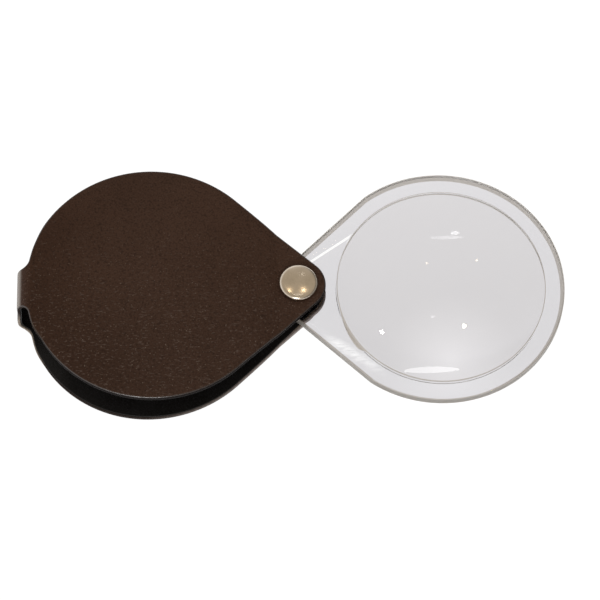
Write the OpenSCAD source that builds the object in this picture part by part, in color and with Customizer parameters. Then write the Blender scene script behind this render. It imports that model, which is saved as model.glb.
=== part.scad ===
// Folding pocket magnifier: a one-piece clear lens plate that swivels on a
// double-cap rivet, out of a case made of one folded piece of stiffened leather.
// The rivet axis is Z, the case lies along -X, the open lens along +X, and the
// origin is on the flat back of the rivet.

/* [Lens plate] */
// Diameter of the optical lens
lens_d = 60; // [58:0.5:60]
// Distance from the rivet axis to the centre of the lens
lens_x = 41.3; // [41:0.1:41.6]
// Height of each domed lens face above its own edge
lens_sag = 2.9; // [1.5:0.1:3]
// Thickness of the lens at its edge
lens_edge_t = 3.1; // [3.06:0.02:3.12]
// Radius of the round end of the flange
flange_r = 35.9; // [35.6:0.1:36.2]
// Distance from the rivet axis to the centre of the flange's round end
flange_x = 41.1; // [40.8:0.1:41.2]
// Radius of the flange at the rivet
flange_tip_r = 7.6; // [7.4:0.1:7.8]
// Thickness of the flange
flange_t = 3; // [2.4:0.1:3]
// Thickness of the web between the rivet and the lens
web_t = 3.2; // [3.16:0.02:3.24]
// How far the web's sides stay inside the edge of the lens
web_inset = 1.3; // [1:0.1:2]

/* [Case] */
// Radius of the round end of the covers
cover_r = 36; // [35.6:0.1:36.2]
// Distance from the rivet axis to the centre of the covers' round end
cover_x = 42; // [41.6:0.1:42]
// Radius of the covers at the rivet
cover_tip_r = 7.9; // [7.9:0.1:8.2]
// Thickness of the leather, with its turned-in border
leather_t = 2; // [1.8:0.1:2.2]
// Thickness of the board inside each cover
board_t = 0.7; // [0.5:0.1:0.9]
// Width of the leather border round the board
board_border = 2.6; // [2:0.1:4]
// Thickness of the lining
lining_t = 0.4; // [0.3:0.1:0.5]
// How far the lining's edge stays inside the leather's edge
lining_inset = 0.3; // [0.2:0.05:0.5]
// Distance from the rivet axis to the outer face of the strap
strap_x = 80.8; // [80.6:0.1:82]
// Width of the strap that joins the two covers
strap_w = 11; // [9:0.5:14]
// Outer radius of the strap's bends
strap_bend_r = 5; // [4:0.1:6]
// Radius of the hollow corner between the strap and a cover
strap_fillet_r = 3; // [2:0.5:4]

/* [Bow of the covers] */
// Length of the flat part of a cover, from the rivet axis
pad_l = 5.65; // [5.65:0.05:5.8]
// Height that a cover gains where it bows out over the lens
bow_h = 1.45; // [1.45:0.05:2]
// Distance over which the cover bows out
bow_l = 4.5; // [3:0.5:4.5]
// Slope of the cover past its bow
cover_slope = 0.052; // [0.052:0.002:0.06]

/* [Rivet] */
// Diameter of the two rivet caps
cap_d = 11.3; // [11:0.1:12]
// Height of the domed front cap
front_cap_h = 1.9; // [1.6:0.1:2.4]
// Height of the flat rear cap
rear_cap_h = 1.3; // [1.2:0.1:1.6]
// Diameter of the flat face of the rear cap
rear_flat_d = 8.6; // [8:0.1:9]
// Wall of the caps
cap_wall = 0.4; // [0.3:0.05:0.5]
// Outer diameter of the rivet's socket, on which the lens turns
socket_d = 4.6; // [4.4:0.1:4.8]
// Diameter of the rivet's post
post_d = 3.1; // [3:0.1:3.2]
// Thickness of the flanges of the post and the socket
rivet_flange_t = 0.4; // [0.3:0.05:0.5]
// Outer diameter of the metal sleeve in the lens plate
sleeve_d = 6; // [5.8:0.1:6.4]
// Radial running clearance between the sleeve and the socket
pivot_play = 0.05; // [0.02:0.01:0.08]
// Free length between the end of the post and the floor of the socket
post_gap = 0.6; // [0.3:0.1:1]
// Free length between the end of the socket and the post's flange
socket_gap = 0.2; // [0.1:0.05:0.3]
// Diameter of the two friction washers
washer_d = 11; // [10:0.1:11]
// Thickness of a friction washer
washer_t = 1.05; // [1.05:0.01:1.1]
// Gap between a washer and the lens plate
washer_play = 0.05; // [0.03:0.01:0.06]

/* [Hidden] */
$fn = 128;
cover_t = leather_t + lining_t;
pad_gap = web_t / 2 + washer_play + washer_t;
rear_z = rear_cap_h;
mid_z = rear_z + cover_t + pad_gap;
front_z = mid_z + pad_gap + cover_t;
reach = 60;
eps = 0.01;
flank_inset = 0.3;
bore_play = 0.1;
press_play = 0.02;
shoulder = 0.75;
flange_d = cap_d - 2 * cap_wall - bore_play;
curve_steps = 22;
bend_steps = 8;
soften_l = 0.3;
bend_x = strap_x - strap_bend_r;

// Half of the space between the covers, at a distance s from the rivet axis
function half_gap(s) =
    let (u = max(s - pad_l, 0), v = u * u / (u + soften_l))
    pad_gap + bow_h * (1 - exp(-v / bow_l)) + cover_slope * v;

// Distances from the rivet at which the covers' curve is worked out, closer together at the bow
curve_s = [for (i = [0 : curve_steps]) pad_l + (bend_x - pad_l) * pow(i / curve_steps, 1.6)];

// Upper half of the case's side view, in the XZ plane: the face that lies a depth d inside the leather
function upper_face(d) = concat(
    [for (s = curve_s) [-s, half_gap(s) + cover_t - d]],
    [for (i = [1 : bend_steps])
        let (a = 90 * i / bend_steps, r = strap_bend_r - d)
        [-bend_x - r * sin(a), half_gap(bend_x) + cover_t - strap_bend_r + r * cos(a)]]);

function flip(points) = [for (i = [len(points) - 1 : -1 : 0]) [points[i][0], -points[i][1]]];

// Side view of everything inside the face at depth d, open past the tip
module side_view(d) {
    half = pad_gap + cover_t - d;
    translate([0, 0, mid_z]) rotate([90, 0, 0])
        linear_extrude(2 * reach, center = true)
            polygon(concat([[reach / 2, half]], upper_face(d), flip(upper_face(d)),
                           [[reach / 2, -half]]));
}

// Layer of the folded case between two depths under the leather's outer face
module folded_layer(from, to) {
    difference() {
        side_view(from);
        side_view(to);
    }
}

// Drop-shaped slab: a round end of radius r1 at x = d, a tip of radius r2 at the
// origin, and two straight flanks that stay inset from the common tangents
module drop(r1, r2, d, inset, h) {
    sa = (r1 - r2) / abs(d);
    ca = sqrt(1 - sa * sa);
    k = sign(d);
    a = r1 - inset;
    b = r2 - inset;
    translate([d, 0, 0]) cylinder(r = r1, h = h, center = true);
    cylinder(r = r2, h = h, center = true);
    linear_extrude(h, center = true)
        polygon([[d - k * a * sa, a * ca], [-k * b * sa, b * ca],
                 [-k * b * sa, -b * ca], [d - k * a * sa, -a * ca]]);
}

// Plan view of a cover without its strap, drawn in by a border
module cover_plan(border) {
    drop(cover_r - border, cover_tip_r - border, -cover_x, 0.1, 2 * reach);
}

// Plan view of the strap's root, with hollow corners where it meets the round covers
module strap_plan(border) {
    w = strap_w - 2 * border;
    f = strap_fillet_r + border;
    fy = w / 2 + f;
    fx = cover_x + sqrt(pow(cover_r - border + f, 2) - fy * fy);
    root = cover_x + 0.9 * cover_r;
    far = strap_x + 1;
    translate([-far, -w / 2, -reach]) cube([far - root, w, 2 * reach]);
    difference() {
        translate([-fx, -fy, -reach]) cube([fx - root, 2 * fy, 2 * reach]);
        for (side = [-1, 1])
            translate([-fx, side * fy, 0]) cylinder(r = f, h = 3 * reach, center = true);
    }
}

module rivet_hole(d) {
    translate([0, 0, -eps]) cylinder(d = d, h = front_z + 1);
}

module board(side) {
    color("tan") difference() {
        intersection() {
            folded_layer(leather_t - board_t, leather_t);
            cover_plan(board_border);
            translate([-reach * 2, -reach, side > 0 ? mid_z : mid_z - reach])
                cube([reach * 3, 2 * reach, reach]);
        }
        rivet_hole(socket_d + 2 * bore_play);
    }
}

module front_board() { board(1); }

module rear_board() { board(-1); }

module leather_wrap() {
    color([0.22, 0.15, 0.12]) difference() {
        intersection() {
            folded_layer(0, leather_t);
            union() {
                cover_plan(0);
                strap_plan(0);
            }
        }
        intersection() {
            folded_layer(leather_t - board_t, leather_t + eps);
            cover_plan(board_border);
        }
        rivet_hole(socket_d + 2 * bore_play);
    }
}

module lining() {
    color([0.08, 0.08, 0.085]) difference() {
        intersection() {
            folded_layer(leather_t, cover_t);
            union() {
                cover_plan(lining_inset);
                strap_plan(lining_inset);
            }
        }
        rivet_hole(socket_d + 2 * bore_play);
    }
}

// Solid dome of height h on a base of diameter d, its foot at z = 0
module dome(d, h) {
    r = (d * d / 4 + h * h) / (2 * h);
    intersection() {
        translate([0, 0, h - r]) sphere(r = r);
        translate([-d, -d, 0]) cube([2 * d, 2 * d, h + 1]);
    }
}

module rivet_front_cap() {
    edge_h = rivet_flange_t + 0.5 * bore_play;
    color([0.62, 0.58, 0.5]) translate([0, 0, front_z]) difference() {
        union() {
            cylinder(d = cap_d, h = edge_h);
            translate([0, 0, edge_h]) dome(cap_d, front_cap_h - edge_h);
        }
        translate([0, 0, -eps]) cylinder(d = cap_d - 2 * cap_wall, h = edge_h + eps);
        translate([0, 0, edge_h - eps]) dome(cap_d - 2 * cap_wall, front_cap_h - edge_h - cap_wall);
    }
}

module rivet_post() {
    foot_z = rear_z + post_gap;
    color([0.7, 0.66, 0.55]) {
        translate([0, 0, front_z]) cylinder(d = flange_d, h = rivet_flange_t);
        translate([0, 0, foot_z]) cylinder(d = post_d, h = front_z + rivet_flange_t - foot_z);
    }
}

module rivet_socket() {
    color([0.7, 0.66, 0.55]) difference() {
        union() {
            translate([0, 0, rear_z - rivet_flange_t]) cylinder(d = flange_d, h = rivet_flange_t);
            translate([0, 0, rear_z - rivet_flange_t])
                cylinder(d = socket_d, h = front_z - socket_gap - rear_z + rivet_flange_t);
        }
        translate([0, 0, rear_z - rivet_flange_t / 2]) cylinder(d = post_d + bore_play, h = front_z);
    }
}

// The rear cap has a flat back, a bevelled shoulder and a pocket for the socket's flange
module rivet_rear_cap() {
    r = cap_d / 2;
    pocket_r = r - cap_wall;
    pocket_z = rear_cap_h - rivet_flange_t - bore_play;
    color([0.62, 0.58, 0.5]) rotate_extrude() polygon([
        [0, 0], [rear_flat_d / 2, 0], [r - shoulder / 3, shoulder / 2], [r, shoulder],
        [r, rear_cap_h], [pocket_r, rear_cap_h], [pocket_r, pocket_z], [0, pocket_z]]);
}

module washer(z) {
    translate([0, 0, z]) difference() {
        cylinder(d = washer_d, h = washer_t);
        translate([0, 0, -1]) cylinder(d = socket_d + 2 * bore_play, h = washer_t + 2);
    }
}

module front_washer() {
    color([0.13, 0.12, 0.12]) washer(mid_z + pad_gap - washer_t);
}

module rear_washer() {
    color([0.13, 0.12, 0.12]) washer(mid_z - pad_gap);
}

module pivot_sleeve() {
    color("goldenrod") translate([0, 0, mid_z]) difference() {
        cylinder(d = sleeve_d, h = web_t, center = true);
        cylinder(d = socket_d + 2 * pivot_play, h = web_t + 2, center = true);
    }
}

module lens() {
    r = lens_d / 2;
    dome_r = (r * r + lens_sag * lens_sag) / (2 * lens_sag);
    color([0.85, 0.88, 0.9, 0.5]) translate([0, 0, mid_z]) difference() {
        union() {
            drop(flange_r, flange_tip_r, flange_x, flank_inset, flange_t);
            drop(r - web_inset, washer_d / 2 + 0.1, lens_x, 0.05, web_t);
            intersection() {
                translate([lens_x, 0, 0]) cylinder(r = r, h = lens_edge_t + 3 * lens_sag, center = true);
                translate([lens_x, 0, lens_edge_t / 2 + lens_sag - dome_r]) sphere(r = dome_r);
                translate([lens_x, 0, dome_r - lens_edge_t / 2 - lens_sag]) sphere(r = dome_r);
            }
        }
        cylinder(d = sleeve_d + 2 * press_play, h = web_t + 2, center = true);
    }
}

leather_wrap();
front_board();
rear_board();
lining();
rivet_front_cap();
rivet_post();
rivet_socket();
rivet_rear_cap();
front_washer();
rear_washer();
pivot_sleeve();
lens();
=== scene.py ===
"""Looks of the folding pocket magnifier: leather case, lining, rivet and clear lens plate."""
from math import acos, asin, atan2, cos, pi, radians, sin, sqrt

import bmesh
import bpy
import numpy as np
from mathutils import Euler, Matrix, Vector, noise
from mathutils.geometry import delaunay_2d_cdt


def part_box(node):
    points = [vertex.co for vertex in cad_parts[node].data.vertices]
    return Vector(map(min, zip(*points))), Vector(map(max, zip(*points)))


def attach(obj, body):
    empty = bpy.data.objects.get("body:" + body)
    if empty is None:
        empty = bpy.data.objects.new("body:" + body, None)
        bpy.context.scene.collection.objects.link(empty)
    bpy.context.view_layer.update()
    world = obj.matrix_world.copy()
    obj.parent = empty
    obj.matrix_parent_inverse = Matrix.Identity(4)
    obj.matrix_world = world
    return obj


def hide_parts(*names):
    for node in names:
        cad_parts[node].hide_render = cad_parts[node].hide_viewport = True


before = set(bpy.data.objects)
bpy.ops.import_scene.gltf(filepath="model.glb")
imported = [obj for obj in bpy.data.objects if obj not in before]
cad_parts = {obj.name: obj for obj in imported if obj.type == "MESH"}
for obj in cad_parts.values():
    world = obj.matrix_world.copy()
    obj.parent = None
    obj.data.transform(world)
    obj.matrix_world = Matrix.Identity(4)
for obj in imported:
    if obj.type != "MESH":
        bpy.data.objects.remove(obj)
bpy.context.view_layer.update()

# ---------------------------------------------------------------- sizes, in millimetres

MM = 0.001
leather_low, leather_high = (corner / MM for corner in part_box("leather_wrap"))
lens_low, lens_high = (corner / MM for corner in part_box("lens"))
sleeve_low, sleeve_high = (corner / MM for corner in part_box("pivot_sleeve"))
front_cap_low, front_cap_high = (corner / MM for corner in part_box("rivet_front_cap"))
rear_cap_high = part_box("rivet_rear_cap")[1] / MM

# The folded case, as in the CAD model
MID_Z = (leather_low.z + leather_high.z) / 2
COVER_R = leather_high.y
COVER_X = 42.0
TIP_R = leather_high.x
STRAP_X = -leather_low.x
STRAP_W = 11.0
BEND_R = 5.0
BEND_X = STRAP_X - BEND_R
FILLET_R = 3.0
LEATHER_T = 2.0
LINING_T = 0.4
COVER_T = LEATHER_T + LINING_T
LINING_INSET = 0.3
BOARD_T = 0.7
POCKET_INSET = 2.5
BOARD_INSET = 2.6
PAD_L = 5.65
PAD_GAP = front_cap_low.z - MID_Z - COVER_T
BOW_H = 1.45
BOW_L = 4.5
SOFTEN_L = 0.3
COVER_SLOPE = 0.052
RIVET_HOLE_R = 2.4

# The leather is thinner in the strap, which has no board in it
STRAP_LEATHER_T = 0.9
THINNING_START = 66.0
THINNING_END = 77.0

# The strap sits a little to the near side, and the rear cover is a hair longer
STRAP_NEAR_GROWTH = 0.27
STRAP_NEAR_GROWTH_REAR = 0.13
STRAP_FAR_GROWTH = -0.09
GROWTH_START = 73.0
GROWTH_END = 79.0
REAR_STRETCH = 0.009
REAR_BLEND_Z = 5.0

# The lens plate, as in the CAD model
LENS_R = 30.0
LENS_X = 41.3
LENS_EDGE_T = 3.1
FLANGE_R = lens_high.y
FLANGE_X = lens_high.x - FLANGE_R
FLANGE_TIP_R = -lens_low.x
FLANGE_T = 3.0
FLANK_INSET = 0.3
WEB_T = sleeve_high.z - sleeve_low.z
LENS_SAG = lens_high.z - MID_Z - LENS_EDGE_T / 2
DOME_BALL_R = (LENS_R**2 + LENS_SAG**2) / (2 * LENS_SAG)
WEB_R = 28.7
WEB_TIP_R = 5.6
BORE_R = sleeve_high.x + 0.02


def smooth_step(value, start, end):
    """0 before the start, 1 past the end, and smooth between them."""
    t = np.clip((value - start) / (end - start), 0, 1)
    return t * t * (3 - 2 * t)


# ---------------------------------------------------------------- the folded sheet

def half_gap(s):
    """Half of the space between the covers, at a distance s from the rivet axis."""
    u = np.maximum(s - PAD_L, 0)
    v = u * u / (u + SOFTEN_L)
    return PAD_GAP + BOW_H * (1 - np.exp(-v / BOW_L)) + COVER_SLOPE * v


BEND_TOP = float(half_gap(np.float64(BEND_X))) + COVER_T
MIDDLE = BEND_X + BEND_R * pi / 2 + BEND_TOP - BEND_R


def unfolded(x):
    """Distance along the sheet from the rivet axis to a place at a distance x in plan."""
    bent = np.clip((x - BEND_X) / BEND_R, 0, 1)
    return np.where(x < BEND_X, x, BEND_X + BEND_R * np.arcsin(bent))


def thinning(s):
    """How far the leather has thinned toward its strap: 0 to 1."""
    return smooth_step(s, THINNING_START, THINNING_END)


def fold(q, y, depth):
    """Points in space at a depth under the outer face of the sheet.

    q runs along the sheet from the front rivet hole round the strap to the rear one, and y across it.
    """
    q, y, depth = np.broadcast_arrays(np.asarray(q, float), y, depth)
    front = q < MIDDLE
    s = np.where(front, q, 2 * MIDDLE - q)
    angle = np.clip((s - BEND_X) / BEND_R, 0, pi / 2)
    down = np.maximum(s - BEND_X - BEND_R * pi / 2, 0)
    r = BEND_R - depth
    x = np.where(s < BEND_X, s, BEND_X + r * np.sin(angle))
    top = half_gap(np.minimum(s, BEND_X)) + COVER_T
    z = np.where(s < BEND_X, top - depth, top - BEND_R + r * np.cos(angle) - down)
    z = np.where(front, z, -z)
    rearward = smooth_step(-z, -REAR_BLEND_Z, REAR_BLEND_Z)
    near = STRAP_NEAR_GROWTH + (STRAP_NEAR_GROWTH_REAR - STRAP_NEAR_GROWTH) * rearward
    growth = np.where(y < 0, near, STRAP_FAR_GROWTH) * smooth_step(s, GROWTH_START, GROWTH_END)
    return np.stack([-x * (1 + REAR_STRETCH * rearward), y * (1 + growth), MID_Z + z], -1)


def arc(centre, radius, start, end, steps):
    """Points on a circle, from one angle to another."""
    angles = np.linspace(start, end, steps + 1)
    return np.stack([centre[0] + radius * np.cos(angles), centre[1] + radius * np.sin(angles)], -1)


def line_between(start, end, steps, bulge=0.01):
    """Points of a side from start to end, which stands out a hair in its middle."""
    start, end = np.array(start), np.array(end)
    t = np.linspace(0, 1, steps)[:, None]
    along = (end - start) / np.linalg.norm(end - start)
    return start + (end - start) * t + np.array([-along[1], along[0]]) * 4 * t * (1 - t) * bulge


def quarter_outline(inset):
    """The sheet's outline at y > 0, from the front tip to the middle of the strap, as (q, y)."""
    lean = asin((COVER_R - TIP_R) / COVER_X)
    fillet_y = STRAP_W / 2 + FILLET_R
    fillet_x = COVER_X + sqrt((COVER_R + FILLET_R) ** 2 - fillet_y**2)
    meet = atan2(fillet_y, fillet_x - COVER_X)
    tip = arc((0, 0), TIP_R - inset, pi, pi / 2 + lean, 18)
    round_end = arc((COVER_X, 0), COVER_R - inset, pi / 2 + lean, meet, 110)
    corner = arc((fillet_x, fillet_y), FILLET_R + inset, meet + pi, 1.5 * pi, 14)
    flank = line_between(tip[-1], round_end[0], 50)[1:-1]
    plan = np.concatenate([tip, flank, round_end[:-1], corner])
    plan[:, 0] = unfolded(plan[:, 0])
    strap = np.linspace(plan[-1], (MIDDLE, STRAP_W / 2 - inset), 18)[1:]
    return np.concatenate([plan, strap])


def sheet_outline(inset):
    """The whole sheet's outline, drawn in by an inset, as a closed loop of (q, y)."""
    near = quarter_outline(inset)
    far = near[::-1] * (-1, 1) + (2 * MIDDLE, 0)
    upper = np.concatenate([near, far[1:]])
    return np.concatenate([upper, upper[-2:0:-1] * (1, -1)])


def pocket_outline(inset, rear):
    """Outline of one cover's board pocket, as a closed loop of (q, y)."""
    lean = asin((COVER_R - TIP_R) / COVER_X)
    tip = arc((0, 0), TIP_R - inset, pi, pi / 2 + lean, 12)
    round_end = arc((COVER_X, 0), COVER_R - inset, pi / 2 + lean, 0, 90)
    flank = line_between(tip[-1], round_end[0], 40)[1:-1]
    upper = np.concatenate([tip, flank, round_end])
    loop = np.concatenate([upper, upper[-2:0:-1] * (1, -1)])
    return loop * (-1, 1) + (2 * MIDDLE, 0) if rear else loop


def rivet_circle(radius, rear, steps=64):
    """A circle round the rivet in one cover, as a closed loop of (q, y)."""
    return arc((2 * MIDDLE if rear else 0, 0), radius, 0, 2 * pi, steps)[:-1]


# ---------------------------------------------------------------- mesh building

CHUNK = 2000
EDGE_CLEARANCE = 0.55


def inside_loops(points, loops):
    """True for the points inside the first loop and outside the others, by counting crossings."""
    a = np.concatenate(loops)
    b = np.concatenate([np.roll(loop, -1, axis=0) for loop in loops])
    result = np.zeros(len(points), bool)
    for start in range(0, len(points), CHUNK):
        x, y = points[start : start + CHUNK].T[:, :, None]
        spans = (a[:, 1] > y) != (b[:, 1] > y)
        rise = np.where(b[:, 1] == a[:, 1], 1, b[:, 1] - a[:, 1])
        crossing = a[:, 0] + (y - a[:, 1]) * (b[:, 0] - a[:, 0]) / rise
        result[start : start + CHUNK] = (spans & (x < crossing)).sum(1) % 2 == 1
    return result


def clear_of(points, others, distance):
    """The points that are further than a distance from all of the others."""
    keep = np.ones(len(points), bool)
    for start in range(0, len(points), CHUNK):
        gaps = points[start : start + CHUNK, None] - others[None]
        keep[start : start + CHUNK] = ((gaps**2).sum(-1) > distance**2).all(1)
    return points[keep]


def grid_points(low, high, rows_at, step_y):
    """Staggered rows of points across the sheet, from low to high."""
    rows = []
    for i, q in enumerate(rows_at):
        y = np.arange(low + (i % 2) * step_y / 2, high, step_y)
        rows.append(np.stack([np.full(len(y), q), y], -1))
    return np.concatenate(rows)


class Shell:
    """A mesh put together from loops, the strips between them and the areas that they bound."""

    def __init__(self):
        self.points = np.zeros((0, 3))
        self.faces = []
        self.looks = []

    def add(self, points):
        """Adds vertices and returns their numbers."""
        start = len(self.points)
        self.points = np.concatenate([self.points, points])
        return np.arange(start, len(self.points))

    def strip(self, a, b, look=0):
        """Quads between two closed loops of the same length."""
        for i in range(len(a)):
            j = (i + 1) % len(a)
            self.faces.append((int(a[i]), int(a[j]), int(b[j]), int(b[i])))
            self.looks.append(look)

    def fan(self, loop, centre, look=0):
        """Triangles from a closed loop to a point."""
        tip = int(self.add(np.array([centre]))[0])
        for i in range(len(loop)):
            self.faces.append((int(loop[i]), int(loop[(i + 1) % len(loop)]), tip))
            self.looks.append(look)

    def fill(self, loops, flat_loops, place, free, spacing, creases=(), look=0):
        """Triangles in the area inside the first loop and outside the others.

        loops are vertices and flat_loops are where they lie in the flat sheet. place turns flat points
        into points in space. free are points that may be added inside, and creases are open lines.
        """
        edge_points = np.concatenate(flat_loops)
        bound = np.concatenate([edge_points, *creases]) if creases else edge_points
        free = clear_of(free[inside_loops(free, flat_loops)], bound, spacing * EDGE_CLEARANCE)
        flat = np.concatenate([edge_points, *creases, free])
        edges = []
        start = 0
        for loop in flat_loops:
            edges += [(start + i, start + (i + 1) % len(loop)) for i in range(len(loop))]
            start += len(loop)
        for line in creases:
            edges += [(start + i, start + i + 1) for i in range(len(line) - 1)]
            start += len(line)
        made = delaunay_2d_cdt([Vector(p) for p in flat], edges, [], 0, 1e-7)
        index = np.concatenate([*loops, self.add(place(flat[len(edge_points):]))])
        origin = [index[ids[0]] for ids in made[3]]
        corners = np.array([list(face) for face in made[2]])
        middles = np.array([list(p) for p in made[0]])[corners].mean(1)
        for face in corners[inside_loops(middles, flat_loops)]:
            self.faces.append(tuple(int(origin[v]) for v in face))
            self.looks.append(look)

    def build(self, name, looks, crease_angle):
        """Makes the object, with its faces turned outwards and its corners sharp past an angle."""
        mesh = bpy.data.meshes.new(name)
        mesh.from_pydata([tuple(p) for p in self.points * MM], [], self.faces)
        for look in looks:
            mesh.materials.append(look)
        mesh.polygons.foreach_set("material_index", self.looks)
        work = bmesh.new()
        work.from_mesh(mesh)
        unused = [v for v in work.verts if not v.link_faces]
        bmesh.ops.delete(work, geom=unused, context="VERTS")
        bmesh.ops.recalc_face_normals(work, faces=work.faces)
        work.to_mesh(mesh)
        work.free()
        mesh.polygons.foreach_set("use_smooth", [True] * len(mesh.polygons))
        mesh.set_sharp_from_angle(angle=radians(crease_angle))
        piece = bpy.data.objects.new(name, mesh)
        bpy.context.scene.collection.objects.link(piece)
        return piece


def lathe(profile, steps=128):
    """A closed shell turned about Z from a profile of (radius, z) that starts and ends on the axis."""
    shell = Shell()
    rings = []
    for radius, z in profile[1:-1]:
        circle = arc((0, 0), radius, 0, 2 * pi, steps)[:-1]
        rings.append(shell.add(np.column_stack([circle, np.full(steps, z)])))
    for a, b in zip(rings, rings[1:]):
        shell.strip(a, b)
    shell.fan(rings[0], (0, 0, profile[0][1]))
    shell.fan(rings[-1], (0, 0, profile[-1][1]))
    return shell


def rounded(start, corner, end, radius, steps=5):
    """Points of a round corner between two straight lines of a profile."""
    corner = np.array(corner, float)
    a = np.array(start, float) - corner
    b = np.array(end, float) - corner
    a /= np.linalg.norm(a)
    b /= np.linalg.norm(b)
    half = acos(float(a @ b)) / 2
    reach = radius / np.tan(half)
    centre = corner + (a + b) / np.linalg.norm(a + b) * radius / sin(half)
    first = corner + a * reach - centre
    last = corner + b * reach - centre
    turns = np.linspace(0, 1, steps + 1)
    mixed = [first * sin((1 - t) * (pi - 2 * half)) + last * sin(t * (pi - 2 * half)) for t in turns]
    return [tuple(centre + m / np.linalg.norm(m) * radius) for m in mixed]


def rounded_edge(width, height, steps):
    """A rounded corner as (inset, depth) pairs, from the face to the side."""
    turns = np.linspace(0, pi / 2, steps + 1)
    return [(width * (1 - sin(a)), height * (1 - cos(a))) for a in turns]


# ---------------------------------------------------------------- materials

class Nodes:
    """Short ways to add nodes to a tree, with one kind of texture coordinates."""

    def __init__(self, tree, coordinates):
        self.tree = tree
        self.place = self.node("ShaderNodeTexCoord").outputs[coordinates]

    def node(self, kind, settings=(), inputs=()):
        node = self.tree.nodes.new(kind)
        for name, value in dict(settings).items():
            setattr(node, name, value)
        for name, value in dict(inputs).items():
            if isinstance(value, bpy.types.NodeSocket):
                self.tree.links.new(value, node.inputs[name])
            else:
                node.inputs[name].default_value = value
        return node

    def axis(self, name):
        """The coordinate along one axis."""
        return self.node("ShaderNodeSeparateXYZ", inputs={0: self.place}).outputs[name]

    def spread(self, value, low, high, to_low=0.0, to_high=1.0, kind="LINEAR"):
        """The value's range from low to high, mapped to another range and held at its ends."""
        inputs = {"Value": value, 1: low, 2: high, 3: to_low, 4: to_high}
        return self.node("ShaderNodeMapRange", {"interpolation_type": kind}, inputs).outputs[0]

    def maths(self, operation, *values):
        return self.node("ShaderNodeMath", {"operation": operation}, dict(enumerate(values))).outputs[0]

    def product(self, first, *others):
        for other in others:
            first = self.maths("MULTIPLY", first, other)
        return first

    def blend(self, factor, a, b):
        """A mix of two colours, each of them a socket or (red, green, blue)."""
        a, b = (colour if isinstance(colour, bpy.types.NodeSocket) else (*colour, 1) for colour in (a, b))
        return self.node("ShaderNodeMix", {"data_type": "RGBA"}, {0: factor, 6: a, 7: b}).outputs[2]


class Look(Nodes):
    """A material of nodes round one Principled shader, whose sockets it sets by name."""

    def __init__(self, name, **values):
        self.material = bpy.data.materials.new(name)
        self.material.use_nodes = True
        super().__init__(self.material.node_tree, "Object")
        self.shader = self.tree.nodes["Principled BSDF"]
        for socket, value in values.items():
            self.shader.inputs[socket.replace("_", " ")].default_value = value

    def noise(self, scale, detail=2.0, roughness=0.5, place=None):
        inputs = {"Vector": place or self.place, "Scale": scale, "Detail": detail, "Roughness": roughness}
        return self.node("ShaderNodeTexNoise", inputs=inputs).outputs["Fac"]

    def cells(self, scale, feature="F1"):
        inputs = {"Vector": self.place, "Scale": scale}
        return self.node("ShaderNodeTexVoronoi", {"feature": feature}, inputs).outputs["Distance"]

    def stretched(self, scale, turn=0.0):
        """The object's coordinates, scaled along each axis and turned about Z."""
        inputs = {"Vector": self.place, "Rotation": (0, 0, turn), "Scale": scale}
        return self.node("ShaderNodeMapping", inputs=inputs).outputs[0]

    def along(self, axis, start, end, to_low=0.0, to_high=1.0):
        """A fade along an axis of the object, between two places in millimetres."""
        return self.spread(self.axis(axis), start * MM, end * MM, to_low, to_high)

    def mottle(self, value, a, b, low=0.3, high=0.7):
        """A colour that goes from a to b as a texture's value rises."""
        return self.blend(self.spread(value, low, high), a, b)

    def set(self, socket, value):
        self.tree.links.new(value, self.shader.inputs[socket])

    def bump(self, height, distance, strength):
        """Relief with a height in millimetres."""
        inputs = {"Height": height, "Distance": distance * MM, "Strength": strength}
        self.set("Normal", self.node("ShaderNodeBump", inputs=inputs).outputs[0])


PORE = (0.014, 0.007, 0.005)
# Painted highlights on the leather: on the crease ridges, as glints in the grain, and as a band on the
# strap's bend.
PAINTED_RIDGE_HIGHLIGHT = (0.112, 0.080, 0.068)
PAINTED_GRAIN_GLINT = (0.20, 0.155, 0.13)
PAINTED_BEND_HIGHLIGHT = (0.30, 0.27, 0.25)


def hide_colour(look, grain):
    """Dark brown, with painted shade: darker toward the strap and toward the near side, lighter toward the
    rivet.
    """
    # Painted lighting: the hide is darker toward the strap and lighter toward the rivet.
    painted_lighting = look.along("X", -78.0, -45.0)
    deep = look.blend(painted_lighting, (0.047, 0.0225, 0.0138), (0.062, 0.0330, 0.0225))
    light = look.blend(painted_lighting, (0.057, 0.0285, 0.0180), (0.073, 0.0395, 0.0275))
    shade = look.mottle(look.noise(45, 3), deep, light, 0.35, 0.65)
    hide = look.mottle(grain, shade, look.blend(0.5, shade, PORE), 0.35, 0.75)
    # Painted shade: the hide is blended toward the pore colour toward the near side.
    return look.blend(look.along("Y", 4.0, -30.0, 0.0, 0.22), hide, PORE)


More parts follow.
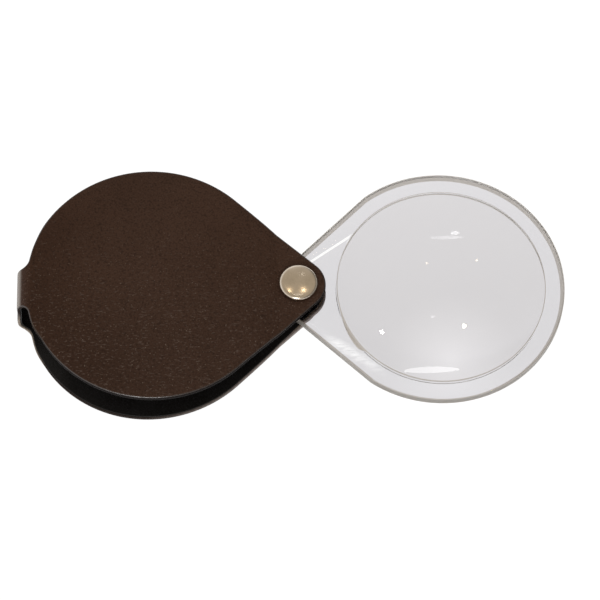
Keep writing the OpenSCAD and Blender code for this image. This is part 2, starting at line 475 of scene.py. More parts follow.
def leather_look():
    """Dark brown hide with painted highlights: paler crease ridges and glints in its grain, and a pale band
    at the strap's bend.
    """
    look = Look("leather_grain", Specular_IOR_Level=0.08)
    grain = look.cells(2300, "SMOOTH_F1")
    fine = look.noise(5200, 2)
    crease = look.noise(2100, 4, 0.6, look.stretched((0.4, 1, 1), radians(-14)))
    # Painted highlight: the crease ridges are paler, more so toward the near side.
    nearer = look.along("Y", 20.0, -18.0, 0.2, 1.0)
    painted_ridge_mask = look.product(look.spread(crease, 0.56, 0.70), nearer)
    hide = look.blend(painted_ridge_mask, hide_colour(look, grain), PAINTED_RIDGE_HIGHLIGHT)
    # Painted glints: pale specks in the grain, more of them toward the near side.
    painted_glint_mask = look.spread(look.cells(1300), 0.26, 0.08)
    chance = look.spread(look.noise(820, 2), 0.50, 0.60)
    hide = look.blend(look.product(painted_glint_mask, chance, nearer), hide, PAINTED_GRAIN_GLINT)
    # Painted highlight: a pale band along the strap's upper bend.
    painted_bend_mask = look.product(look.along("X", -79.2, -80.0), look.along("Z", MID_Z + 5.4, MID_Z + 6.4))
    look.set("Base Color", look.blend(painted_bend_mask, hide, PAINTED_BEND_HIGHLIGHT))
    look.set("Roughness", look.spread(fine, 0.3, 0.7, 0.36, 0.5))
    height = look.maths("MULTIPLY_ADD", fine, 0.35, grain)
    look.bump(look.maths("ADD", height, crease), 0.08, 0.5)
    return look.material


def burnish_look():
    """The burnished corner between the leather's face and its cut edge."""
    look = Look("leather_burnish", Base_Color=(0.030, 0.018, 0.014, 1), Specular_IOR_Level=0.8)
    rub = look.noise(1500, 3, 0.6)
    look.set("Roughness", look.spread(rub, 0.35, 0.65, 0.14, 0.36))
    look.bump(look.cells(1700, "SMOOTH_F1"), 0.1, 0.6)
    return look.material


def edge_look():
    """The cut edge: black in front, brown on the rear with a painted highlight that pales it toward its
    tip, and bare at the lower bend.
    """
    look = Look("leather_edge_dye", Specular_IOR_Level=0.05)
    streak = look.noise(900, 4, 0.6)
    black = look.mottle(streak, (0.0055, 0.0040, 0.0040), (0.011, 0.0085, 0.008), 0.35)
    brown = look.mottle(streak, (0.020, 0.014, 0.012), (0.040, 0.030, 0.026), 0.35)
    # Painted highlight: a pale colour for the rear edge toward its tip.
    painted_lighting = look.mottle(streak, (0.22, 0.185, 0.172), (0.36, 0.31, 0.29), 0.35)
    raw = look.mottle(streak, (0.20, 0.165, 0.135), (0.34, 0.29, 0.245), 0.35)
    on_rear = look.along("Z", MID_Z + 1, MID_Z - 1)
    painted_light_toward_tip = look.along("X", -45.0, 4.0)
    at_bend = look.along("X", -73.5, -76.5)
    low_down = look.along("Z", MID_Z + 4, MID_Z - 2)
    cover = look.blend(on_rear, black, look.blend(painted_light_toward_tip, brown, painted_lighting))
    look.set("Base Color", look.blend(at_bend, cover, look.blend(low_down, brown, raw)))
    look.set("Roughness", look.spread(streak, 0.3, 0.7, 0.6, 0.8))
    look.bump(streak, 0.05, 0.6)
    return look.material


def flesh_look():
    """The leather's rough inner side."""
    look = Look("leather_flesh_side", Roughness=0.95, Specular_IOR_Level=0.2)
    fibre = look.noise(1500, 5, 0.7)
    look.set("Base Color", look.mottle(fibre, (0.16, 0.11, 0.075), (0.32, 0.25, 0.19)))
    look.bump(fibre, 0.1, 0.8)
    return look.material


def lining_look():
    """Black grained lining with a few paler specks."""
    look = Look("lining_grain", Specular_IOR_Level=0.25)
    grain = look.cells(1900, "SMOOTH_F1")
    cloth = look.mottle(look.noise(120, 3), (0.003, 0.0022, 0.0020), (0.0065, 0.0055, 0.0055))
    look.set("Base Color", look.mottle(look.noise(2600, 2), cloth, (0.015, 0.014, 0.016), 0.58, 0.70))
    look.set("Roughness", look.spread(grain, 0.2, 0.8, 0.55, 0.42))
    look.bump(grain, 0.06, 0.6)
    return look.material


def nickel_look():
    look = Look("nickel_plate", Metallic=1.0)
    brush = look.noise(900, 4, 0.7, look.stretched((1, 6, 1)))
    look.set("Base Color", look.mottle(look.noise(260, 4, 0.6), (0.57, 0.49, 0.395), (0.69, 0.60, 0.50)))
    look.set("Roughness", look.spread(brush, 0.3, 0.75, 0.16, 0.20))
    look.bump(brush, 0.002, 0.3)
    return look.material


def brass_look():
    look = Look("drawn_brass", Metallic=1.0)
    streak = look.noise(700, 4, 0.6)
    look.set("Base Color", look.mottle(streak, (0.70, 0.50, 0.22), (0.83, 0.63, 0.32)))
    look.set("Roughness", look.spread(streak, 0.3, 0.7, 0.2, 0.36))
    look.bump(streak, 0.02, 0.4)
    return look.material


def board_look():
    look = Look("pressed_board", Roughness=0.9)
    fibre = look.noise(1100, 5, 0.7)
    look.set("Base Color", look.mottle(fibre, (0.30, 0.20, 0.11), (0.55, 0.42, 0.27)))
    look.bump(fibre, 0.05, 0.6)
    return look.material


def washer_look():
    look = Look("black_fibre", Roughness=0.75)
    fibre = look.noise(1800, 4, 0.7)
    look.set("Base Color", look.mottle(fibre, (0.008, 0.008, 0.008), (0.022, 0.021, 0.02)))
    look.bump(fibre, 0.04, 0.5)
    return look.material


ACRYLIC_IOR = 1.49
FLANGE_TINT = (0.715, 0.708, 0.73)
LENS_TINT = (0.685, 0.673, 0.688)
RIM_TINT = (0.53, 0.485, 0.43)
# Painted shade and painted light: the plate's outer wall is darker on its near side and paler on its far
# side.
PAINTED_SHADE_WALL_TINT = (0.40, 0.365, 0.325)
PAINTED_LIGHT_WALL_TINT = (0.98, 0.96, 0.93)
SCUFF_TINT = (0.98, 0.98, 0.99)


def acrylic(name, tint, clear=1.0):
    return Look(name, Transmission_Weight=clear, IOR=ACRYLIC_IOR, Base_Color=(*tint, 1))


def clear_acrylic(name, tint):
    """Polished, with a faint smear."""
    look = acrylic(name, tint)
    look.set("Roughness", look.spread(look.noise(55, 4, 0.6), 0.5, 0.85, 0.0, 0.015))
    return look


def satin_acrylic(name, tint):
    look = acrylic(name, tint, 0.6)
    look.set("Roughness", look.spread(look.noise(420, 3, 0.6), 0.3, 0.7, 0.35, 0.5))
    return look


def lens_look():
    return clear_acrylic("clear_lens", LENS_TINT).material


def flange_look():
    """Clear, with a pale scuff on one side between the web's edge and the rim."""
    look = clear_acrylic("clear_flange", FLANGE_TINT)
    lean = asin((WEB_R - WEB_TIP_R) / LENS_X)
    lengthwise = look.product(look.axis("X"), -sin(lean))
    off_axis = look.maths("SUBTRACT", lengthwise, look.product(look.axis("Y"), cos(lean)))
    inner = look.spread(off_axis, 6.6 * MM, 7.6 * MM)
    outer = look.spread(off_axis, 10.4 * MM, 9.0 * MM)
    reach = look.product(look.along("X", 6.0, 11.0), look.along("X", 25.0, 17.0))
    streak = look.noise(700, 4, 0.6, look.stretched((0.3, 1.5, 1), lean))
    scuff = look.product(inner, outer, reach, look.spread(streak, 0.38, 0.58, 0.15, 1.0))
    look.set("Base Color", look.blend(scuff, FLANGE_TINT, SCUFF_TINT))
    return look.material


def rim_look():
    """The moulded rim and steps are satin, and a little warm."""
    return satin_acrylic("satin_acrylic", RIM_TINT).material


def wall_look():
    """The plate's outer wall is satin too, with painted light on its far side, paler, and painted shade on
    its near side.
    """
    look = satin_acrylic("satin_wall", PAINTED_SHADE_WALL_TINT)
    look.set("Base Color", look.blend(look.along("Y", -10.0, 15.0), PAINTED_SHADE_WALL_TINT, PAINTED_LIGHT_WALL_TINT))
    return look.material


def painted_highlight_look():
    """A painted highlight along the web's edge: clear plastic without the plate's grey tint."""
    look = acrylic("painted_highlight_acrylic", (1, 1, 1))
    look.set("Roughness", look.spread(look.noise(300, 3, 0.6), 0.3, 0.7, 0.02, 0.12))
    return look.material


# ---------------------------------------------------------------- the leather wrap

# The cover is pressed down under the rivet's caps, and thinned toward its edge
PRESS_DEPTH = 0.25
PRESS_R = 5.4
PRESS_END_R = 7.4
SKIVE_DEPTH = 0.22
SKIVE_W = 3.5
WAVE_H = 0.05
WAVE_RATE = 0.07
WAVE_SEED = 3.1

# Rounding of the cut edges, and the band of faces that follows each edge
OUTER_ROUND = 0.75
INNER_ROUND = 0.3
LEATHER_BAND = 0.2
LINING_ROUND = 0.15
LINING_BAND = 0.4

# The border of bare leather at the rear tip, and where it ends
BARE_W = 0.6
BARE_R = 9.0
BARE_END_R = 19.0

# Spacing of the mesh points, as (on the flat, where the sheet bends), and where the bow at the rivet ends
FACE_GRID = (0.8, 0.4)
COARSE_GRID = (2.0, 0.8)
LINING_GRID = (1.0, 0.5)
LINING_BACK_GRID = (1.6, 0.6)
BOW_END = 18.0

BOARD_PLAY = 0.01
SHEET_CREASE = 50
GRAIN, DYE, FLESH, BURNISH = range(4)


def drop_distance(x, y, r1, r2, d):
    """Distance to the outline of a drop, negative inside: round end r1 at x = d, tip r2 at the origin."""
    b = (r2 - r1) / d
    a = sqrt(1 - b * b)
    side = np.abs(y)
    k = a * x - b * side
    tip = np.hypot(x, side) - r2
    end = np.hypot(x - d, side) - r1
    return np.where(k < 0, tip, np.where(k > a * d, end, a * side + b * x - r2))


def from_tip(q):
    """Distance along the sheet from the nearer of its two rivet holes."""
    return np.where(q < MIDDLE, q, 2 * MIDDLE - q)


def relief(q, y):
    """How far the leather's outer face stands above (or below) its nominal place."""
    s = from_tip(q)
    press = -PRESS_DEPTH * (1 - smooth_step(np.hypot(s, y), PRESS_R, PRESS_END_R))
    inside = -drop_distance(s, y, COVER_R, TIP_R, COVER_X)
    skive = np.where(s > BEND_X, 0, -SKIVE_DEPTH * (1 - smooth_step(inside, 0, SKIVE_W)) ** 2)
    places = [Vector((along * WAVE_RATE, across * WAVE_RATE, WAVE_SEED)) for along, across in zip(q, y)]
    return press + skive + np.array([WAVE_H * noise.noise(place) for place in places])


def leather_place(depth):
    """A function that puts flat points at a depth in the leather."""
    def place(flat):
        q, y = flat.T
        thin = 1 - (1 - STRAP_LEATHER_T / LEATHER_T) * thinning(from_tip(q))
        return fold(q, y, depth * thin - relief(q, y) * (1 - depth / LEATHER_T))
    return place


def lining_place(depth):
    """A function that puts flat points at a depth in the lining, which stays on the leather."""
    def place(flat):
        q, y = flat.T
        return fold(q, y, depth - (LEATHER_T - STRAP_LEATHER_T) * thinning(from_tip(q)))
    return place


def stations(step, fine_step):
    """Distances along the sheet for rows of points, closer together where it bends."""
    half = np.concatenate([
        np.arange(-TIP_R, PAD_L, step), np.arange(PAD_L, BOW_END, fine_step),
        np.arange(BOW_END, BEND_X - 1, step), np.arange(BEND_X - 1, MIDDLE, fine_step)])
    return np.concatenate([half, 2 * MIDDLE - half[::-1]])


def sheet_grid(step, fine_step):
    """Points all over the flat sheet."""
    return grid_points(-COVER_R, COVER_R, stations(step, fine_step), step)


def make_leather():
    """The whole wrap, with its rounded, burnished and dyed edge and the pockets of its boards."""
    upper = rounded_edge(OUTER_ROUND, OUTER_ROUND, 6)
    lower = [(inset, LEATHER_T - depth) for inset, depth in rounded_edge(INNER_ROUND, INNER_ROUND, 3)]
    bands = (OUTER_ROUND + LEATHER_BAND, 0.0), (INNER_ROUND + LEATHER_BAND, LEATHER_T)
    edge = [bands[0], *upper, *lower[::-1], bands[1]]
    slots = [GRAIN] * 3 + [BURNISH] * 2 + [DYE] * (len(edge) - 6)
    shell = Shell()
    flats = [sheet_outline(inset) for inset, depth in edge]
    loops = [shell.add(leather_place(depth)(flat)) for (inset, depth), flat in zip(edge, flats)]
    for a, b, slot in zip(loops, loops[1:], slots):
        shell.strip(a, b, slot)
    holes = [rivet_circle(RIVET_HOLE_R, rear) for rear in (False, True)]
    outer_holes = [shell.add(leather_place(0.0)(hole)) for hole in holes]
    free = sheet_grid(*FACE_GRID)
    shell.fill([loops[0], *outer_holes], [flats[0], *holes], leather_place(0.0), free, FACE_GRID[0])
    add_pockets(shell, loops[-1], flats[-1], holes, outer_holes)
    looks = [leather_look(), edge_look(), flesh_look(), burnish_look()]
    return shell.build("leather_case", looks, SHEET_CREASE)


def add_pockets(shell, loop, flat, holes, outer_holes):
    """The leather's inner face, with a pocket in each cover for its board."""
    floor_depth = LEATHER_T - BOARD_T
    coarse = sheet_grid(*COARSE_GRID)
    spacing = COARSE_GRID[0]
    pockets = [pocket_outline(POCKET_INSET, rear) for rear in (False, True)]
    rims = [shell.add(leather_place(LEATHER_T)(pocket)) for pocket in pockets]
    feet = [shell.add(leather_place(floor_depth)(pocket)) for pocket in pockets]
    shell.fill([loop, *rims], [flat, *pockets], leather_place(LEATHER_T), coarse, spacing, look=FLESH)
    for rim, foot, pocket, hole, outer_hole in zip(rims, feet, pockets, holes, outer_holes):
        shell.strip(rim, foot, FLESH)
        place = leather_place(floor_depth)
        inner_hole = shell.add(place(hole))
        shell.strip(outer_hole, inner_hole, FLESH)
        shell.fill([foot, inner_hole], [pocket, hole], place, coarse, spacing, look=FLESH)


def bare_tip(flat):
    """Draws the lining's outline in at the rear tip, where a border of leather shows."""
    towards = flat - (2 * MIDDLE, 0)
    away = np.linalg.norm(towards, axis=1)
    shift = BARE_W * (1 - smooth_step(away, BARE_R, BARE_END_R))
    return flat - towards / away[:, None] * shift[:, None]


def make_lining():
    """The lining, laid on the leather's inner face and drawn in from its edge."""
    corner = rounded_edge(LINING_ROUND, LINING_ROUND, 3)
    upper = [(inset, LEATHER_T + depth) for inset, depth in corner]
    lower = [(inset, COVER_T - depth) for inset, depth in corner[::-1]]
    edge = [(LINING_BAND, LEATHER_T), *upper, *lower, (LINING_BAND, COVER_T)]
    shell = Shell()
    flats = [bare_tip(sheet_outline(LINING_INSET + inset)) for inset, depth in edge]
    loops = [shell.add(lining_place(depth)(flat)) for (inset, depth), flat in zip(edge, flats)]
    for a, b in zip(loops, loops[1:]):
        shell.strip(a, b)
    holes = [rivet_circle(RIVET_HOLE_R, rear) for rear in (False, True)]
    back = [shell.add(lining_place(LEATHER_T)(hole)) for hole in holes]
    face = [shell.add(lining_place(COVER_T)(hole)) for hole in holes]
    coarse = sheet_grid(*LINING_BACK_GRID)
    free = sheet_grid(*LINING_GRID)
    shell.fill([loops[0], *back], [flats[0], *holes], lining_place(LEATHER_T), coarse, LINING_BACK_GRID[0])
    shell.fill([loops[-1], *face], [flats[-1], *holes], lining_place(COVER_T), free, LINING_GRID[0])
    for a, b in zip(back, face):
        shell.strip(a, b)
    return shell.build("case_lining", [lining_look()], SHEET_CREASE)


def make_board(name, rear, look):
    """A board in its pocket, pressed thinner toward the strap with the leather."""
    outline = pocket_outline(BOARD_INSET, rear)
    hole = rivet_circle(RIVET_HOLE_R, rear)
    free = sheet_grid(*COARSE_GRID)
    shell = Shell()
    sides = []
    for depth in (LEATHER_T - BOARD_T + BOARD_PLAY, LEATHER_T - BOARD_PLAY):
        place = leather_place(depth)
        loops = [shell.add(place(outline)), shell.add(place(hole))]
        shell.fill(loops, [outline, hole], place, free, COARSE_GRID[0])
        sides.append(loops)
    for a, b in zip(*sides):
        shell.strip(a, b)
    return shell.build(name, [look], SHEET_CREASE)


# ---------------------------------------------------------------- the rivet's caps

CAP_WALL = 0.4
CAP_CREASE = 40
CAP_SEAT = PRESS_DEPTH * 0.8
DOME_R = 24.0
CAP_TILT = (radians(-1.3), radians(1.7), 0)
SHOULDER_R = 1.2
CAP_LIP = 0.12
REAR_FLAT_R = 4.3
REAR_FLOOR_Z = 0.7
REAR_WALL_Z = 1.1


def front_cap_outside(rim_r, rim_z, top_z):
    """The flat dome, its round shoulder and the lip at its rim, each as (radius, z) points."""
    crown_r = rim_r - SHOULDER_R
    crown = [(r, top_z - r * r / (2 * DOME_R)) for r in np.linspace(0, crown_r, 14)]
    fall = asin(crown_r / DOME_R)
    shoulder_x = crown_r - SHOULDER_R * sin(fall)
    shoulder_z = crown[-1][1] - SHOULDER_R * cos(fall)
    turns = np.linspace(fall, pi / 2, 10)[1:]
    shoulder = [(shoulder_x + SHOULDER_R * sin(a), shoulder_z + SHOULDER_R * cos(a)) for a in turns]
    scale = (rim_r - crown_r) / (shoulder[-1][0] - crown_r)
    shoulder = [(crown_r + (r - crown_r) * scale, z) for r, z in shoulder]
    rolled = CAP_LIP * 0.3
    lip = [(rim_r, rim_z + CAP_LIP), (rim_r - rolled, rim_z + rolled), (rim_r - CAP_LIP, rim_z)]
    return crown, shoulder, lip


def make_front_cap():
    """A hollow flat dome, seated a little askew, whose rim is pressed into the leather."""
    rim_r = front_cap_high.x
    rim_z = front_cap_low.z - CAP_SEAT
    top_z = front_cap_high.z
    crown, shoulder, lip = front_cap_outside(rim_r, rim_z, top_z)
    crown_r, crown_z = crown[-1]
    knee_z = shoulder[-1][1]
    inside_r = rim_r - CAP_WALL
    inside = [(inside_r, rim_z), (inside_r, knee_z - 0.2), (inside_r - 0.5, knee_z + 0.15)]
    inside += [(crown_r - 0.4, crown_z - CAP_WALL - 0.1), (0, top_z - CAP_WALL - 0.2)]
    shell = lathe(crown + shoulder + lip + inside)
    middle = np.array((0, 0, rim_z))
    turn = np.array(Euler(CAP_TILT).to_matrix())
    shell.points = (shell.points - middle) @ turn.T + middle
    return shell.build("rivet_cap_front", [nickel_look()], CAP_CREASE)


def make_rear_cap():
    """The rear cap is flat, so that the magnifier lies on it, with a rolled shoulder."""
    rim_r = rear_cap_high.x
    rim_z = rear_cap_high.z + CAP_SEAT
    shoulder = rounded((0, 0), (rim_r, 0), (rim_r, rim_z), rim_r - REAR_FLAT_R - 0.05, 8)
    outside = [(0, 0.0), (REAR_FLAT_R * 0.5, 0.0), (REAR_FLAT_R * 0.9, 0.0), *shoulder, (rim_r, rim_z)]
    inside_r = rim_r - CAP_WALL
    inside = [(inside_r, rim_z), (inside_r, REAR_WALL_Z), (inside_r - 0.4, REAR_FLOOR_Z), (0, REAR_FLOOR_Z)]
    return lathe(outside + inside).build("rivet_cap_rear", [nickel_look()], CAP_CREASE)


# ---------------------------------------------------------------- the lens plate

PLATE_CREASE = 25
RIM_ROUND = 0.3
BEVEL_W = 1.1
BEVEL_H = 0.5
RIM_BAND = 0.1
STEP_W = 0.4

# The painted highlight line along the web's edge: its edges on the upper face, and where it starts on the
# lower
LINE_EDGES = (-1.1, -0.4)
LINE_SHIFT = -0.3

# The groove round the lens, which widens to a crescent beside the web on one side, at these angles
GROOVE_W = 0.5
GROOVE_D = 0.15
CRESCENT_W = 1.1
CRESCENT_START = (-172, -143)
CRESCENT_END = (-142, -137)

LENS_RINGS = 42
LENS_STEPS = 256
BORE_STEPS = 96
WEB_GAP = 0.1
FLANGE, RIM, PAINTED_HIGHLIGHT, LENS, WALL = range(5)

# The grid of points on the plate's faces: its spacing and where it starts and ends along X
PLATE_GRID = 1.5
PLATE_SPAN = (-8, 78)

# Faces nearer than this to the plate's middle are on its walls
FACE_Z = 1.4


def plate_outline(inset):
    """Outline of the lens plate, drawn in by an inset, as a closed loop of (x, y)."""
    lean = asin((FLANGE_R - FLANGE_TIP_R) / FLANGE_X)
    kink = acos((FLANGE_R - FLANK_INSET) / FLANGE_R)
    kink_tip = acos((FLANGE_TIP_R - FLANK_INSET) / FLANGE_TIP_R)
    round_end = arc((FLANGE_X, 0), FLANGE_R - inset, 0, pi / 2 + lean - kink, 160)
    tip = arc((0, 0), FLANGE_TIP_R - inset, pi / 2 + lean + kink_tip, pi, 24)
    flank = line_between(round_end[-1], tip[0], 60, -0.01)[1:-1]
    upper = np.concatenate([round_end, flank, tip])
    return np.concatenate([upper, upper[-2:0:-1] * (1, -1)])


def web_line(offset):
    """The web's edge, moved outwards by an offset, as a line from the lens round the rivet and back."""
    lean = asin((WEB_R - WEB_TIP_R) / LENS_X)
    end_r = WEB_R + offset
    tip = arc((0, 0), WEB_TIP_R + offset, pi / 2 + lean, 3 * pi / 2 - lean, 40)
    start = (LENS_X + end_r * cos(pi / 2 + lean), end_r * sin(pi / 2 + lean))
    line = line_between(start, tip[0], 60, -0.01)
    beyond = np.hypot(line[:, 0] - LENS_X, line[:, 1]) - LENS_R - GROOVE_W
    far = line[beyond > WEB_GAP]
    near = line[beyond > CRESCENT_W + WEB_GAP]
    return np.concatenate([far[:-1], tip, near[::-1][1:] * (1, -1)])


def lens_height(r):
    """Height of the lens's face above the plate's middle, at a distance r from the lens's axis."""
    return LENS_EDGE_T / 2 + LENS_SAG - DOME_BALL_R + np.sqrt(DOME_BALL_R**2 - r**2)


def plate_height(x, y):
    """Height of the plate's face above its middle, outside the lens."""
    off = drop_distance(x, y, WEB_R, WEB_TIP_R, LENS_X)
    web = 1 - smooth_step(off, 0, STEP_W)
    return FLANGE_T / 2 + (WEB_T - FLANGE_T) / 2 * web


def plate_place(up):
    """A function that puts flat points on the plate's upper (1) or lower (-1) face."""
    def place(flat):
        return np.column_stack([flat, MID_Z + up * plate_height(*flat.T)])
    return place


def crescent(circle):
    """Where the groove round the lens is wider: 0 to 1."""
    angle = np.degrees(np.arctan2(circle[:, 1], circle[:, 0]))
    return smooth_step(angle, *CRESCENT_START) * (1 - smooth_step(angle, *CRESCENT_END))


def add_lens_face(shell, circle, up):
    """One domed face of the lens. Returns its last ring."""
    rings = []
    for r in np.linspace(0, LENS_R, LENS_RINGS + 1)[1:]:
        height = np.full(LENS_STEPS, MID_Z + up * lens_height(r))
        rings.append(shell.add(np.column_stack([circle * r + (LENS_X, 0), height])))
    shell.fan(rings[0], (LENS_X, 0, MID_Z + up * lens_height(0)), LENS)
    for a, b in zip(rings, rings[1:]):
        shell.strip(a, b, LENS)
    return rings[-1]


def add_groove(shell, circle, up, lens_ring):
    """The groove round the lens. Returns its outer bank, as vertices and as flat points."""
    wider = crescent(circle) * (CRESCENT_W / GROOVE_W * 2) if up > 0 else np.zeros(LENS_STEPS)
    half = GROOVE_W / 2
    bottom_flat = circle * (LENS_R + half * (1 + wider))[:, None] + (LENS_X, 0)
    bank_flat = circle * (LENS_R + half * (2 + wider))[:, None] + (LENS_X, 0)
    bottom_z = np.full(LENS_STEPS, MID_Z + up * (FLANGE_T / 2 - GROOVE_D))
    bottom = shell.add(np.column_stack([bottom_flat, bottom_z]))
    bank = shell.add(plate_place(up)(bank_flat))
    shell.strip(lens_ring, bottom, RIM)
    shell.strip(bottom, bank, FLANGE)
    return bank, bank_flat


def add_rim(shell, rim, up):
    """The rim's corner, from (inset, fall) pairs. Returns its first loop, its last and the flat first."""
    place = plate_place(up)
    flats = [plate_outline(inset) for inset, fall in rim]
    loops = [shell.add(place(flat) - (0, 0, up * fall)) for (inset, fall), flat in zip(rim, flats)]
    shell.strip(loops[0], loops[1], FLANGE)
    for a, b in zip(loops[1:], loops[2:]):
        shell.strip(a, b, WALL if up > 0 else RIM)
    return loops[0], loops[-1], flats[0]


def make_lens():
    """The clear plate in one piece: the lens, the groove round it, the flange, the web and the bore."""
    shell = Shell()
    circle = arc((0, 0), 1, 0, 2 * pi, LENS_STEPS)[:-1]
    bore = rivet_circle(BORE_R, False, BORE_STEPS)
    free = grid_points(-FLANGE_R, FLANGE_R, np.arange(*PLATE_SPAN, PLATE_GRID), PLATE_GRID)
    creases = {1: (*LINE_EDGES, 0.0, STEP_W), -1: (LINE_SHIFT, 0.0, STEP_W)}
    rims = {1: rounded_edge(RIM_ROUND, RIM_ROUND, 5), -1: rounded_edge(BEVEL_W, BEVEL_H, 9)}
    ends = []
    for up, rim in rims.items():
        lens_ring = add_lens_face(shell, circle, up)
        bank, bank_flat = add_groove(shell, circle, up, lens_ring)
        band = (rim[0][0] + RIM_BAND, 0.0)
        edge, wall, edge_flat = add_rim(shell, [band, *rim], up)
        place = plate_place(up)
        bore_loop = shell.add(place(bore))
        loops = [edge, bank, bore_loop]
        flat_loops = [edge_flat, bank_flat, bore]
        lines = [web_line(offset) for offset in creases[up]]
        shell.fill(loops, flat_loops, place, free, PLATE_GRID, lines)
        ends.append((wall, bore_loop))
    shell.strip(ends[0][0], ends[1][0], WALL)
    shell.strip(ends[0][1], ends[1][1], FLANGE)
    mark_painted_highlight(shell)
    looks = [flange_look(), rim_look(), painted_highlight_look(), lens_look(), wall_look()]
    return shell.build("lens_plate", looks, PLATE_CREASE)


def mark_painted_highlight(shell):
    """Paints a highlight on the web's edge, on its far side, as a band on both faces."""
    bands = {1: LINE_EDGES, -1: (LINE_SHIFT, STEP_W)}
    for i, face in enumerate(shell.faces):
        x, y, z = shell.points[list(face)].mean(0)
        if shell.looks[i] != FLANGE or y < 0 or abs(z - MID_Z) < FACE_Z:
            continue
        start, end = bands[1 if z > MID_Z else -1]
        beyond = np.hypot(x - LENS_X, y) > LENS_R + GROOVE_W
        if beyond and start < drop_distance(x, y, WEB_R, WEB_TIP_R, LENS_X) < end:
            shell.looks[i] = PAINTED_HIGHLIGHT


# ---------------------------------------------------------------- putting the pieces on the frame

def fit(piece, body, slot, *nodes):
    """Rides a piece on a body, in place of CAD nodes. The slot argument is not used."""
    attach(piece, body)
    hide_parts(*nodes)


def dress(material, *nodes):
    """Gives the CAD nodes that stay in view their material."""
    for node in nodes:
        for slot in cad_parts[node].material_slots:
            slot.material = material


fit(make_leather(), "case", "leather", "leather_wrap")
fit(make_lining(), "case", "lining", "lining")
fit(make_front_cap(), "case", "nickel", "rivet_front_cap")
fit(make_rear_cap(), "case", "nickel", "rivet_rear_cap")
fit(make_lens(), "lens_plate", "lens_plastic", "lens")
board_material = board_look()
fit(make_board("pressed_board_front", False, board_material), "case", "board", "front_board")
fit(make_board("pressed_board_rear", True, board_material), "case", "board", "rear_board")
dress(brass_look(), "rivet_post", "rivet_socket", "pivot_sleeve")
dress(washer_look(), "front_washer", "rear_washer")

# ---------------------------------------------------------------- floor, light and camera

FLOOR_SIZE = 6.0
FLOOR_GLOW = 0.98
BACK_GLOW = 1.05
BACK_Y = 40.0

# The painted pool of light on the table under the lens, a soft glow of the table itself, as a place off the
# lens's axis
PAINTED_POOL_GLOW = 0.22
POOL_PLACE = (2.0, -21.5)
POOL_R = 21.0
POOL_FALL = 1.5

# Light of the room
OVERHEAD = (0.50, 0.45, 0.37)
LOW_LEFT = (1.0, 1.0, 1.0)
LOW_RIGHT = (0.22, 0.21, 0.20)
WHITE = (1.0, 1.0, 1.0)
WARM = (1.0, 0.80, 0.54)
LAMP_DISTANCE = 1.5

CAMERA_DISTANCE = 800.0
CAMERA_ELEVATION = 65.2
CAMERA_AZIMUTH = -1.5
CAMERA_TARGET = (0.48, 0.01, 0.0)
CAMERA_SCALE = 3.43
SENSOR_W = 36.0
IMAGE_W = 600


def floor_look(pool_place):
    """A pale table, a little brighter at the back, with a painted pool of light under the lens."""
    look = Look("pale_table", Base_Color=(0.1, 0.1, 0.1, 1), Roughness=0.9, Specular_IOR_Level=0.0)
    look.shader.inputs["Emission Color"].default_value = (1, 1, 1, 1)
    glow = look.along("Y", 0.0, BACK_Y, FLOOR_GLOW, BACK_GLOW)
    # Painted pool of light under the lens, added to the table's glow.
    away = look.node("ShaderNodeVectorMath", {"operation": "DISTANCE"}, {0: look.place, 1: pool_place})
    pool = look.maths("POWER", look.spread(away.outputs["Value"], POOL_R * MM, 0.0), POOL_FALL)
    look.set("Emission Strength", look.maths("ADD", glow, look.product(pool, PAINTED_POOL_GLOW)))
    return look.material


def make_floor():
    """A table that touches both the strap's lower bend and the lens's dome."""
    ball = Vector((LENS_X, 0, lens_low.z + DOME_BALL_R))
    bend = Vector((-BEND_X, 0, leather_low.z + BEND_R))
    across = ball - bend
    tilt = atan2(across.z, across.x) - asin((DOME_BALL_R - BEND_R) / across.length)
    touch = bend + Vector((sin(tilt), 0, -cos(tilt))) * BEND_R
    bpy.ops.mesh.primitive_plane_add(size=FLOOR_SIZE)
    floor = bpy.context.object
    floor.name = "floor"
    floor.rotation_euler = (0, -tilt, 0)
    floor.location = touch * MM
    pool_place = Vector((LENS_X + POOL_PLACE[0] - touch.x, POOL_PLACE[1], 0)) * MM
    floor.data.materials.append(floor_look(pool_place))


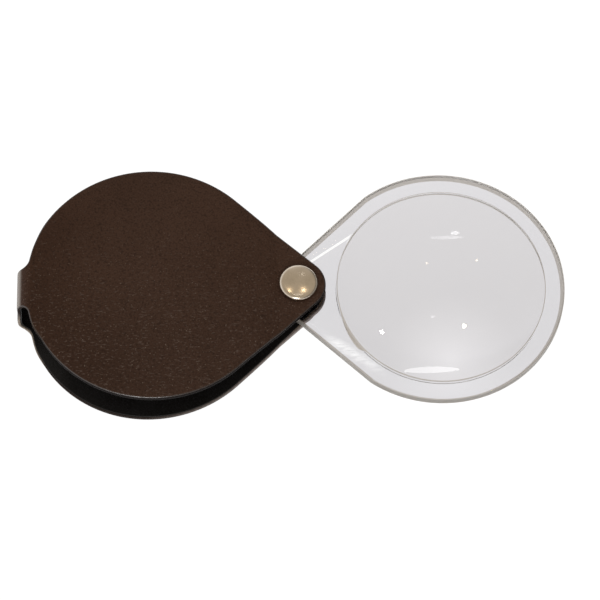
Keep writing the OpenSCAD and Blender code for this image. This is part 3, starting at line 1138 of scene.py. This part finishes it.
def make_world():
    """Soft light: warm and dim overhead, white low down on the left and in front, dim on the right."""
    world = bpy.data.worlds.new("soft_room")
    bpy.context.scene.world = world
    world.use_nodes = True
    sky = Nodes(world.node_tree, "Generated")
    rightward = sky.spread(sky.axis("X"), -0.1, 0.55, kind="SMOOTHSTEP")
    upward = sky.spread(sky.axis("Z"), 0.30, 0.80, kind="SMOOTHSTEP")
    colour = sky.blend(upward, sky.blend(rightward, LOW_LEFT, LOW_RIGHT), OVERHEAD)
    sky.tree.links.new(colour, sky.tree.nodes["Background"].inputs[0])


def make_lamp(name, toward, size, radiance, tint=WHITE):
    """An oval lamp in a direction from the object, with its first size along X."""
    direction = Vector(toward).normalized()
    light = bpy.data.lights.new(name, "AREA")
    light.shape = "ELLIPSE"
    light.size, light.size_y = size
    light.energy = radiance * pi * (pi * size[0] * size[1] / 4)
    light.color = tint
    lamp = bpy.data.objects.new(name, light)
    lamp.location = direction * LAMP_DISTANCE
    across = (Vector((1, 0, 0)) - direction * direction.x).normalized()
    axes = Matrix((across, direction.cross(across), direction)).transposed()
    lamp.rotation_mode = "QUATERNION"
    lamp.rotation_quaternion = axes.to_quaternion()
    bpy.context.scene.collection.objects.link(lamp)


def make_camera():
    """A camera at the photo's angle, whose lens gives the photo's scale in pixels per millimetre."""
    data = bpy.data.cameras.new("camera")
    camera = bpy.data.objects.new("camera", data)
    azimuth = radians(CAMERA_AZIMUTH)
    elevation = radians(CAMERA_ELEVATION)
    back = Vector((sin(azimuth) * cos(elevation), -cos(azimuth) * cos(elevation), sin(elevation)))
    camera.location = (Vector(CAMERA_TARGET) + back * CAMERA_DISTANCE) * MM
    camera.rotation_mode = "QUATERNION"
    camera.rotation_quaternion = (-back).to_track_quat("-Z", "Y")
    data.sensor_width = SENSOR_W
    data.lens = SENSOR_W * CAMERA_SCALE * CAMERA_DISTANCE / IMAGE_W
    data.clip_start = 0.05
    data.clip_end = 20
    bpy.context.scene.collection.objects.link(camera)
    bpy.context.scene.camera = camera


make_floor()
make_world()
make_lamp("lamp_left", (-0.158, 0.218, 0.963), (0.027, 0.027), 110, WARM)
make_lamp("lamp_right", (0.170, 0.228, 0.959), (0.027, 0.027), 110, WARM)
make_lamp("window", (0.147, 0.609, 0.779), (0.045, 0.031), 6)
make_lamp("front_window", (-0.14, -0.90, 0.43), (0.7, 0.40), 8)
make_lamp("overhead_strip", (0.033, 0.044, 1.0), (0.34, 0.04), 5)
make_camera()
bpy.context.scene.view_settings.view_transform = "Standard"
